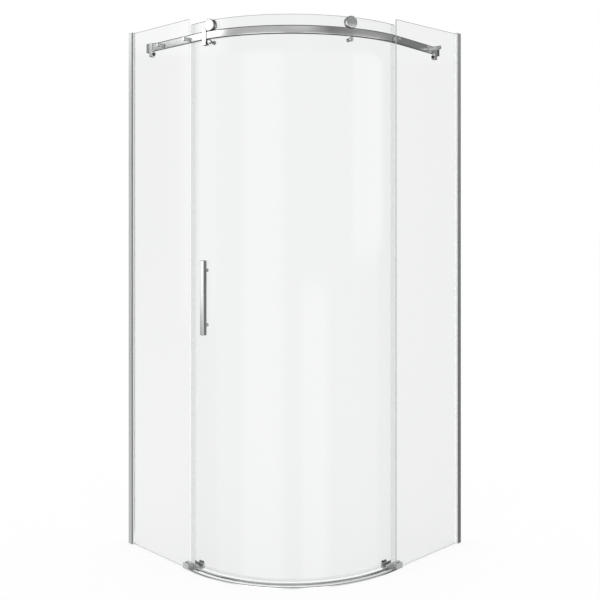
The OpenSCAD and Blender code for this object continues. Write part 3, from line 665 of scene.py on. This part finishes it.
# The cap: a plug in the bore, a disc whose edge is a quarter of a circle, and a low dome
def capOutline():
    s = wheelSizes
    floor, top = s["width"] - s["recess"], s["width"] + s["capProud"]
    plug, e = s["bore"] - s["gap"], s["capEdge"]
    edge = [(s["capRadius"] - e * (1 - math.cos(t)), top - e * (1 - math.sin(t)))
            for t in np.linspace(0, math.pi / 2, 6)]
    return [(0, floor - s["plug"]), (plug, floor - s["plug"]), (plug, floor),
            (s["capRadius"], floor), *edge, (s["capRadius"] * 0.5, top + s["dome"] * 0.75),
            (0, top + s["dome"])]


# The bearing: a ring with a sunk shield on each face; its front half mirrors its back half
def bearingOutline():
    s = bearingSizes
    back, front = s["back"], s["front"]
    near, far = s["shield"]
    half = [(s["bore"], back), (s["inner"], back), (near, back + s["sink"]),
            (far, back + s["sink"]), (s["outer"], back), (s["rim"], back)]
    return half + [(radius, back + front - depth) for radius, depth in half[::-1]]


def makeWheel(side, angle):
    middle = (plan["railIn"] + plan["railOut"]) / 2
    back, axis = radialPoint(angle, middle - wheelSizes["width"] / 2, plan["wheelZ"])
    sides = wheelSizes["sides"]
    for name, node, outline, finish, steps in (
            ("WheelBody", "_wheel", wheelOutline(), "wheelSteel", sides),
            ("WheelCap", "_wheel_cap", capOutline(), "polishedSteel", sides),
            ("Bearing", "_wheel_bearing", bearingOutline(), "turnedSteel", bearingSizes["sides"])):
        piece = turnProfile(side + name, outline, back, axis, finishes[finish], steps)
        settle(piece, side + "_roller", [side + node])


for side, angle in wheelAngles.items():
    makeWheel(side, angle)
print("rail and wheels made")


# ---- handle

handleSizes = {"inner": 0.471, "depth": 0.016, "width": 0.018, "length": 0.262, "middle": 0.964,
               "round": 0.0011, "crown": 0.0005, "crownPoints": 13, "crownRound": 0.0001,
               "endRound": 0.0012}


# The bar: a rounded rectangle carried up, with a crowned front that falls back with the square
# of the distance from its middle; at both ends the section is drawn in along a quarter circle
def makeHandleBar():
    s = handleSizes
    centre, axis = radialPoint(handleAngle, s["inner"] + s["depth"] / 2, 0)
    side = np.array([-axis[1], axis[0], 0])
    deep, wide = s["depth"] / 2, s["width"] / 2
    front = [(deep - s["crown"] * t * t, t * wide) for t in np.linspace(-1, 1, s["crownPoints"])]
    rounds = [s["round"]] * 3 + [s["crownRound"]] * (s["crownPoints"] - 2) + [s["round"]]
    section = roundCorners([(-deep, wide), (-deep, -wide), *front], rounds, 5)
    low, high = s["middle"] - s["length"] / 2, s["middle"] + s["length"] / 2
    t = np.linspace(0, np.pi / 2, 4)
    inset, lift = s["endRound"] * (1 - np.sin(t)), s["endRound"] * (1 - np.cos(t))
    heights = np.concatenate([low + lift, (high - lift)[::-1]])
    insets = np.concatenate([inset, inset[::-1]])
    scale = 1 - insets[:, None] / np.abs(section).max(0)[None]
    points = (centre + section[None, :, 0, None] * scale[:, None, :1] * axis
              + section[None, :, 1, None] * scale[:, None, 1:] * side
              + heights[:, None, None] * np.array([0, 0, 1.0]))
    rows, columns = len(heights), len(section)
    faces = gridQuads(rows, columns)[2].tolist() + endFaces(rows, columns)
    piece = meshObject("handleBar", points.reshape(-1, 3), faces, None, finishes["polishedSteel"])
    settle(piece, "door", ["handle_bar"])


makeHandleBar()


# ---- seals and strips

# the leaves are how far a seal reaches over the door's outer and inner face
sealSizes = {"wall": 0.0012, "seat": 0.00005, "leftLeaf": 0.038, "rightLeaf": 0.027,
             "innerLeaf": 0.020, "tip": 0.0002, "points": 14, "sweepDepth": 0.004,
             "sweepRise": 0.008, "endGap": 0.001, "step": 1.5}


# An edge seal: its section is drawn as (distance along the arc, radius) from the door's edge,
# bent round the centre, and carried up the door
def makeEdgeSeal(name, node, edge, way, leaf):
    s = sealSizes
    out, inn = plan["doorOut"] + s["seat"], plan["doorIn"] - s["seat"]
    w, inner = s["wall"], s["innerLeaf"]

    def line(start, end, radius):
        return [(x, radius) for x in np.linspace(start, end, s["points"])]

    loop = np.array(line(-w, leaf, out + w) + [(leaf + s["tip"], out + w * 0.5)]
                    + line(leaf, 0.0, out) + line(0.0, inner, inn)
                    + [(inner + s["tip"], inn - w * 0.5)] + line(inner, -w, inn - w))
    angle = math.radians(edge) + way * loop[:, 0] / plan["doorOut"]
    section = np.stack([plan["centre"][0] + loop[:, 1] * np.cos(angle),
                        plan["centre"][1] + loop[:, 1] * np.sin(angle)], 1)
    path = [[0, 0, doorSizes["bottom"]], [0, 0, doorSizes["top"]]]
    piece = sweepSection(name, section, path, (1, 0, 0), (0, 1, 0), finishes["clearSeal"])
    settle(piece, "door", [node])


# The sweep: two walls up the pane, joined under it, and a lip down its inner side
def makeDoorSweep():
    s = sealSizes
    w, low = s["wall"], doorSizes["bottom"]
    top = low - s["seat"]
    high, foot = top + s["sweepRise"], low - s["sweepDepth"]
    reach = plan["doorOut"]
    inn, out = plan["doorIn"] - s["seat"] - reach, s["seat"]
    start = -90 - doorSizes["lap"] + math.degrees((s["leftLeaf"] + s["endGap"]) / reach)
    end = doorSizes["lap"] - math.degrees((s["rightLeaf"] + s["endGap"]) / reach)
    path, outward = arcPath(reach, start, end, 0.0, s["step"])
    section = [(inn - w, foot), (inn, foot), (inn, top - w), (out + w, top - w), (out + w, high),
               (out, high), (out, top), (inn, top), (inn, high), (inn - w, high)]
    piece = sweepSection("doorSweep", section, path, outward, (0, 0, 1), finishes["clearSeal"])
    settle(piece, "door", ["door_sweep"])


makeEdgeSeal("leftEdgeSeal", "left_edge_seal", -90 - doorSizes["lap"], 1, sealSizes["leftLeaf"])
makeEdgeSeal("rightEdgeSeal", "right_edge_seal", doorSizes["lap"], -1, sealSizes["rightLeaf"])
makeDoorSweep()

# the nose is the sloping outer edge, as (width, drop at its back, drop at its front)
sillSizes = {"width": 0.023, "height": 0.006, "lip": 0.010, "lipThick": 0.002, "start": -0.072,
             "nose": (0.002, 0.001, 0.0022), "round": 0.0007, "footRound": 0.0003,
             "inRound": 0.0004, "lipRound": 0.0009, "step": 1.0}


# The threshold: a low ramp with a lip at its back, along a short run, a quarter circle and a run
def makeThreshold():
    s = sillSizes
    slope, back, front = s["nose"]
    lipFront = -s["width"] + s["lipThick"]
    outline = [(-s["width"], 0), (0, 0), (0, s["height"] - front), (-slope, s["height"] - back),
               (lipFront, s["height"]), (lipFront, s["lip"]), (-s["width"], s["lip"])]
    rounds = [s["footRound"]] * 2 + [s["round"]] * 2 + [s["inRound"]] + [s["lipRound"]] * 2
    section = roundCorners(outline, rounds, 4)
    bend, outward = arcPath(plan["corner"], -90, 0, 0.0, s["step"])
    run = plan["centre"][0] - s["start"]
    path = np.vstack([bend[:1] - [[run, 0, 0]], bend, bend[-1:] + [[0, run, 0]]])
    outward = np.vstack([outward[:1], outward, outward[-1:]])
    piece = sweepSection("thresholdStrip", section, path, outward, (0, 0, 1),
                         finishes["sillMetal"])
    settle(piece, "frame", ["threshold"])


makeThreshold()

# the small parts keep their CAD shape; the number is how wide their edges are rounded
softParts = {
    "left_wall_channel": ("leftWallChannel", "brightProfile", 0.0008),
    "right_wall_channel": ("rightWallChannel", "brightProfile", 0.0008),
    # both glass profiles are one extrusion of one metal; the left takes painted shade and the right
    # painted light
    "left_glass_profile": ("leftGlassProfile", "darkProfile", 0.0005),
    "right_glass_profile": ("rightGlassProfile", "paleProfile", 0.0005),
    "profile_caps": ("profileCaps", "brightProfile", 0.0005),
    "profile_screws": ("profileScrews", "polishedSteel", 0.0004),
    "left_pane_gasket": ("leftPaneGasket", "paleRubber", 0.0),
    "right_pane_gasket": ("rightPaneGasket", "paleRubber", 0.0),
    "left_foot_strip": ("leftFootStrip", "clearSeal", 0.0005),
    "right_foot_strip": ("rightFootStrip", "clearSeal", 0.0005),
    "rail_end_caps": ("railEndCaps", "satinSteel", 0.0010),
    "rail_bolts": ("railBolts", "polishedSteel", 0.0005),
    "rail_spacers": ("railSpacers", "paleSteel", 0.0004),
    "rail_gaskets": ("railGaskets", "clearSeal", 0.0),
    "glass_bushes": ("glassBushes", "whitePlastic", 0.0),
    "left_end_stop": ("leftEndStop", "polishedSteel", 0.0014),
    "door_stop": ("doorStop", "polishedSteel", 0.0014),
    "right_end_stop": ("rightEndStop", "polishedSteel", 0.0014),
    "stop_bumpers": ("stopBumpers", "blackRubber", 0.0006),
    "stop_screws": ("stopScrews", "turnedSteel", 0.0),
    "left_guide_clamp": ("leftGuideClamp", "greyProfile", 0.0007),
    "right_guide_clamp": ("rightGuideClamp", "greyProfile", 0.0007),
    "left_guide_block": ("leftGuideBlock", "greyPlastic", 0.0012),
    "right_guide_block": ("rightGuideBlock", "greyPlastic", 0.0012),
    "left_guide_tab": ("leftGuideTab", "polishedSteel", 0.0006),
    "right_guide_tab": ("rightGuideTab", "polishedSteel", 0.0006),
    "guide_screws": ("guideScrews", "polishedSteel", 0.0003),
    "wheel_axles": ("wheelAxles", "turnedSteel", 0.0003),
    "axle_nuts": ("axleNuts", "polishedSteel", 0.0007),
    "axle_bushes": ("axleBushes", "whitePlastic", 0.0),
    "lift_discs": ("liftDiscs", "polishedSteel", 0.0022),
    "lift_pins": ("liftPins", "polishedSteel", 0.0004),
    "handle_posts": ("handlePosts", "polishedSteel", 0.0004),
    "handle_screws": ("handleScrews", "paleCap", 0.0006),
    "handle_gaskets": ("handleGaskets", "clearSeal", 0.0),
}
for node, (name, finish, width) in softParts.items():
    softenNode(node, name, finishes[finish], width)
print("small parts made")


# ---- stage, light and camera

floorLook = {"size": 200.0, "shade": 0.25, "roughness": 0.9, "glow": 0.75}


# A wide pale floor that mirrors don't see
def makeStage():
    s = floorLook
    size, shade = s["size"], s["shade"]
    mesh = bpy.data.meshes.new("studioFloor")
    mesh.from_pydata([(x, y, 0) for x, y in rectangle(-size, -size, size, size)], [],
                     [(0, 1, 2, 3)])
    floor = linkPiece("studioFloor", mesh)
    material, make = newMaterial("paleFloor")
    make.finish(make.add("ShaderNodeBsdfPrincipled", {}, {
        "Base Color": (shade, shade, shade, 1), "Roughness": s["roughness"],
        "Specular IOR Level": 0.0, "Emission Color": (1, 1, 1, 1),
        "Emission Strength": s["glow"]}))
    mesh.materials.append(material)
    floor.visible_glossy = False


# What mirrors see, by azimuth (turn) and height (lift) in degrees: a pair is where a soft step
# starts and ends, and the other numbers are strengths
lowLight = {
    "pale": 0.95, "paleLoss": 0.20, "paleTurn": (-60, 40),
    "left": 0.50, "leftGain": 0.80, "leftLift": (-7.4, -4.4), "leftTurn": (-116, -124),
    "farLeft": 0.38, "farGain": 0.30, "farLift": (0, -16), "farTurn": (-143.0, -144.4),
    "shade": 0.16, "shadeTurn": (43, 50), "footTurn": (33, 43), "footLift": (-1.2, -2.7),
    "box": 0.90, "tallBox": (-92, -55, 7), "lowBox": (-37, -14, 4), "lowBoxLift": (-3, -5.5),
    "highBox": (10, 42, 4), "highBoxLift": (-4, -1),
}
# the rail's own band: (turn, strength) along it, and the lifts of its lower edge and its middle,
# which both bow down with the square of the distance from one azimuth
railLight = {
    "tones": [(-180, 0.9), (-144.2, 1.0), (-143, 1.9), (-114, 1.9), (-110, 1.3), (-105, 0.70),
              (-95, 0.55), (-84, 0.52), (-60, 0.56), (-40, 0.70), (-33, 0.68), (-26, 0.54),
              (-12, 0.24), (0, 0.29), (15, 0.38), (25, 0.41), (40, 0.40), (55, 0.38), (67, 0.30)],
    "bowMiddle": -40, "edge": 11.05, "edgeBow": 0.4, "edgeDrop": 0.6, "edgeTurn": (25, 60),
    "edgeStep": (-0.65, -0.25), "middle": 11.6, "middleBow": 0.9, "middleStep": (0, 0.5),
    "contrast": 0.36, "contrastTurn": (-8, -36),
}
# above the band and under the floor, with a pale patch behind that the threshold mirrors
overLight = {
    "above": (14.5, 17.5), "below": (-29, -34), "dark": 0.10,
    "front": 0.55, "frontBox": (-100, 25, 8), "frontLift": (44, 34),
    "behind": 1.05, "behindGain": 0.35, "behindTurn": (131, 137), "behindBox": (116, 149, 3),
    "behindLift": (42, 36),
}


# The studio: white for the eye and for soft light; mirrors see the tones above
def makeStudio():
    low, rail, over = lowLight, railLight, overLight
    world = bpy.data.worlds.new("softStudio")
    world.use_nodes = True
    bpy.context.scene.world = world
    make = NodeMaker(world.node_tree)
    x = make.add("ShaderNodeSeparateXYZ", {}, [make.add("ShaderNodeTexCoord", {}, [], "Generated")])
    turn = make.other(x, 1).maths("ARCTAN2", x) * (180 / math.pi)
    lift = make.other(x, 2).maths("ARCSINE") * (180 / math.pi)

    def box(start, end, soft):
        return turn.step(start - soft, start + soft) * turn.step(end + soft, end - soft)

    def blend(first, second, share):
        return first + (second - first) * share

    tone = low["pale"] - low["paleLoss"] * turn.step(*low["paleTurn"])
    left = low["left"] + low["leftGain"] * lift.step(*low["leftLift"])
    tone = blend(tone, left, turn.step(*low["leftTurn"]))
    farLeft = low["farLeft"] + low["farGain"] * lift.step(*low["farLift"])
    tone = blend(tone, farLeft, turn.step(*low["farTurn"]))
    boxes = (box(*low["tallBox"]) + box(*low["lowBox"]) * lift.step(*low["lowBoxLift"])
             + box(*low["highBox"]) * lift.step(*low["highBoxLift"]))
    foot = turn.step(*low["footTurn"]) * lift.step(*low["footLift"])
    shade = turn.step(*low["shadeTurn"]).maths("MAXIMUM", foot)
    lower = (tone + boxes * low["box"]) * (1 - shade) + low["shade"] * shade

    # a ramp's stops go from 0 to 1, so the tones are halved in it
    stops = [((place + 180) / 360, (value / 2,) * 3) for place, value in rail["tones"]]
    ramp = make.add("ShaderNodeValToRGB", {"stops": stops}, [(turn + 180) * (1 / 360)])
    offset = (turn - rail["bowMiddle"]) * 0.01
    bow = offset * offset
    edge = rail["edge"] - rail["edgeBow"] * bow - rail["edgeDrop"] * turn.step(*rail["edgeTurn"])
    middle = rail["middle"] - rail["middleBow"] * bow
    rise = (lift - middle).step(*rail["middleStep"]) - 0.5
    contrast = rail["contrast"] * turn.step(*rail["contrastTurn"])
    upper = ramp * 2 * (1 + rise * contrast)
    high = (lift - edge).step(*rail["edgeStep"])
    mirrored = lower * (1 - high) + upper * high

    front = over["front"] * box(*over["frontBox"]) * lift.step(*over["frontLift"])
    behind = over["behind"] + over["behindGain"] * turn.step(*over["behindTurn"])
    patch = box(*over["behindBox"]) * lift.step(*over["behindLift"])
    top = blend(over["dark"] + front, behind, patch)
    above, below = lift.step(*over["above"]), lift.step(*over["below"])
    mirrored = mirrored * (1 - above) + top * above
    mirrored = mirrored * (1 - below) + over["dark"] * below
    glossy = make.add("ShaderNodeLightPath", {}, [], "Is Glossy Ray")
    make.finish(make.add("ShaderNodeBackground", {}, {
        "Color": (1, 1, 1, 1), "Strength": mirrored * glossy + (1 - glossy)}),
        "ShaderNodeOutputWorld")


# the eye that was fitted to the photo's edges: focus, middle and frame in its pixels
eye = {"place": (2.49596, -2.34983, 1.24421), "turn": 44.77, "focus": 894.13,
       "middle": (325.45, 217.86), "frame": 600, "sensor": 36.0, "reach": 100}


def makeCamera():
    s = eye
    camera = bpy.data.cameras.new("photoEye")
    camera.sensor_width = s["sensor"]
    camera.lens = s["focus"] * s["sensor"] / s["frame"]
    camera.shift_x = (s["frame"] / 2 - s["middle"][0]) / s["frame"]
    camera.shift_y = (s["middle"][1] - s["frame"] / 2) / s["frame"]
    camera.clip_end = s["reach"]
    holder = linkPiece("photoEye", camera)
    holder.location = s["place"]
    holder.rotation_euler = (math.radians(90), 0, math.radians(s["turn"]))
    bpy.context.scene.camera = holder


makeStage()
makeStudio()
makeCamera()
bpy.context.scene.view_settings.view_transform = "Standard"
print("stage ready")
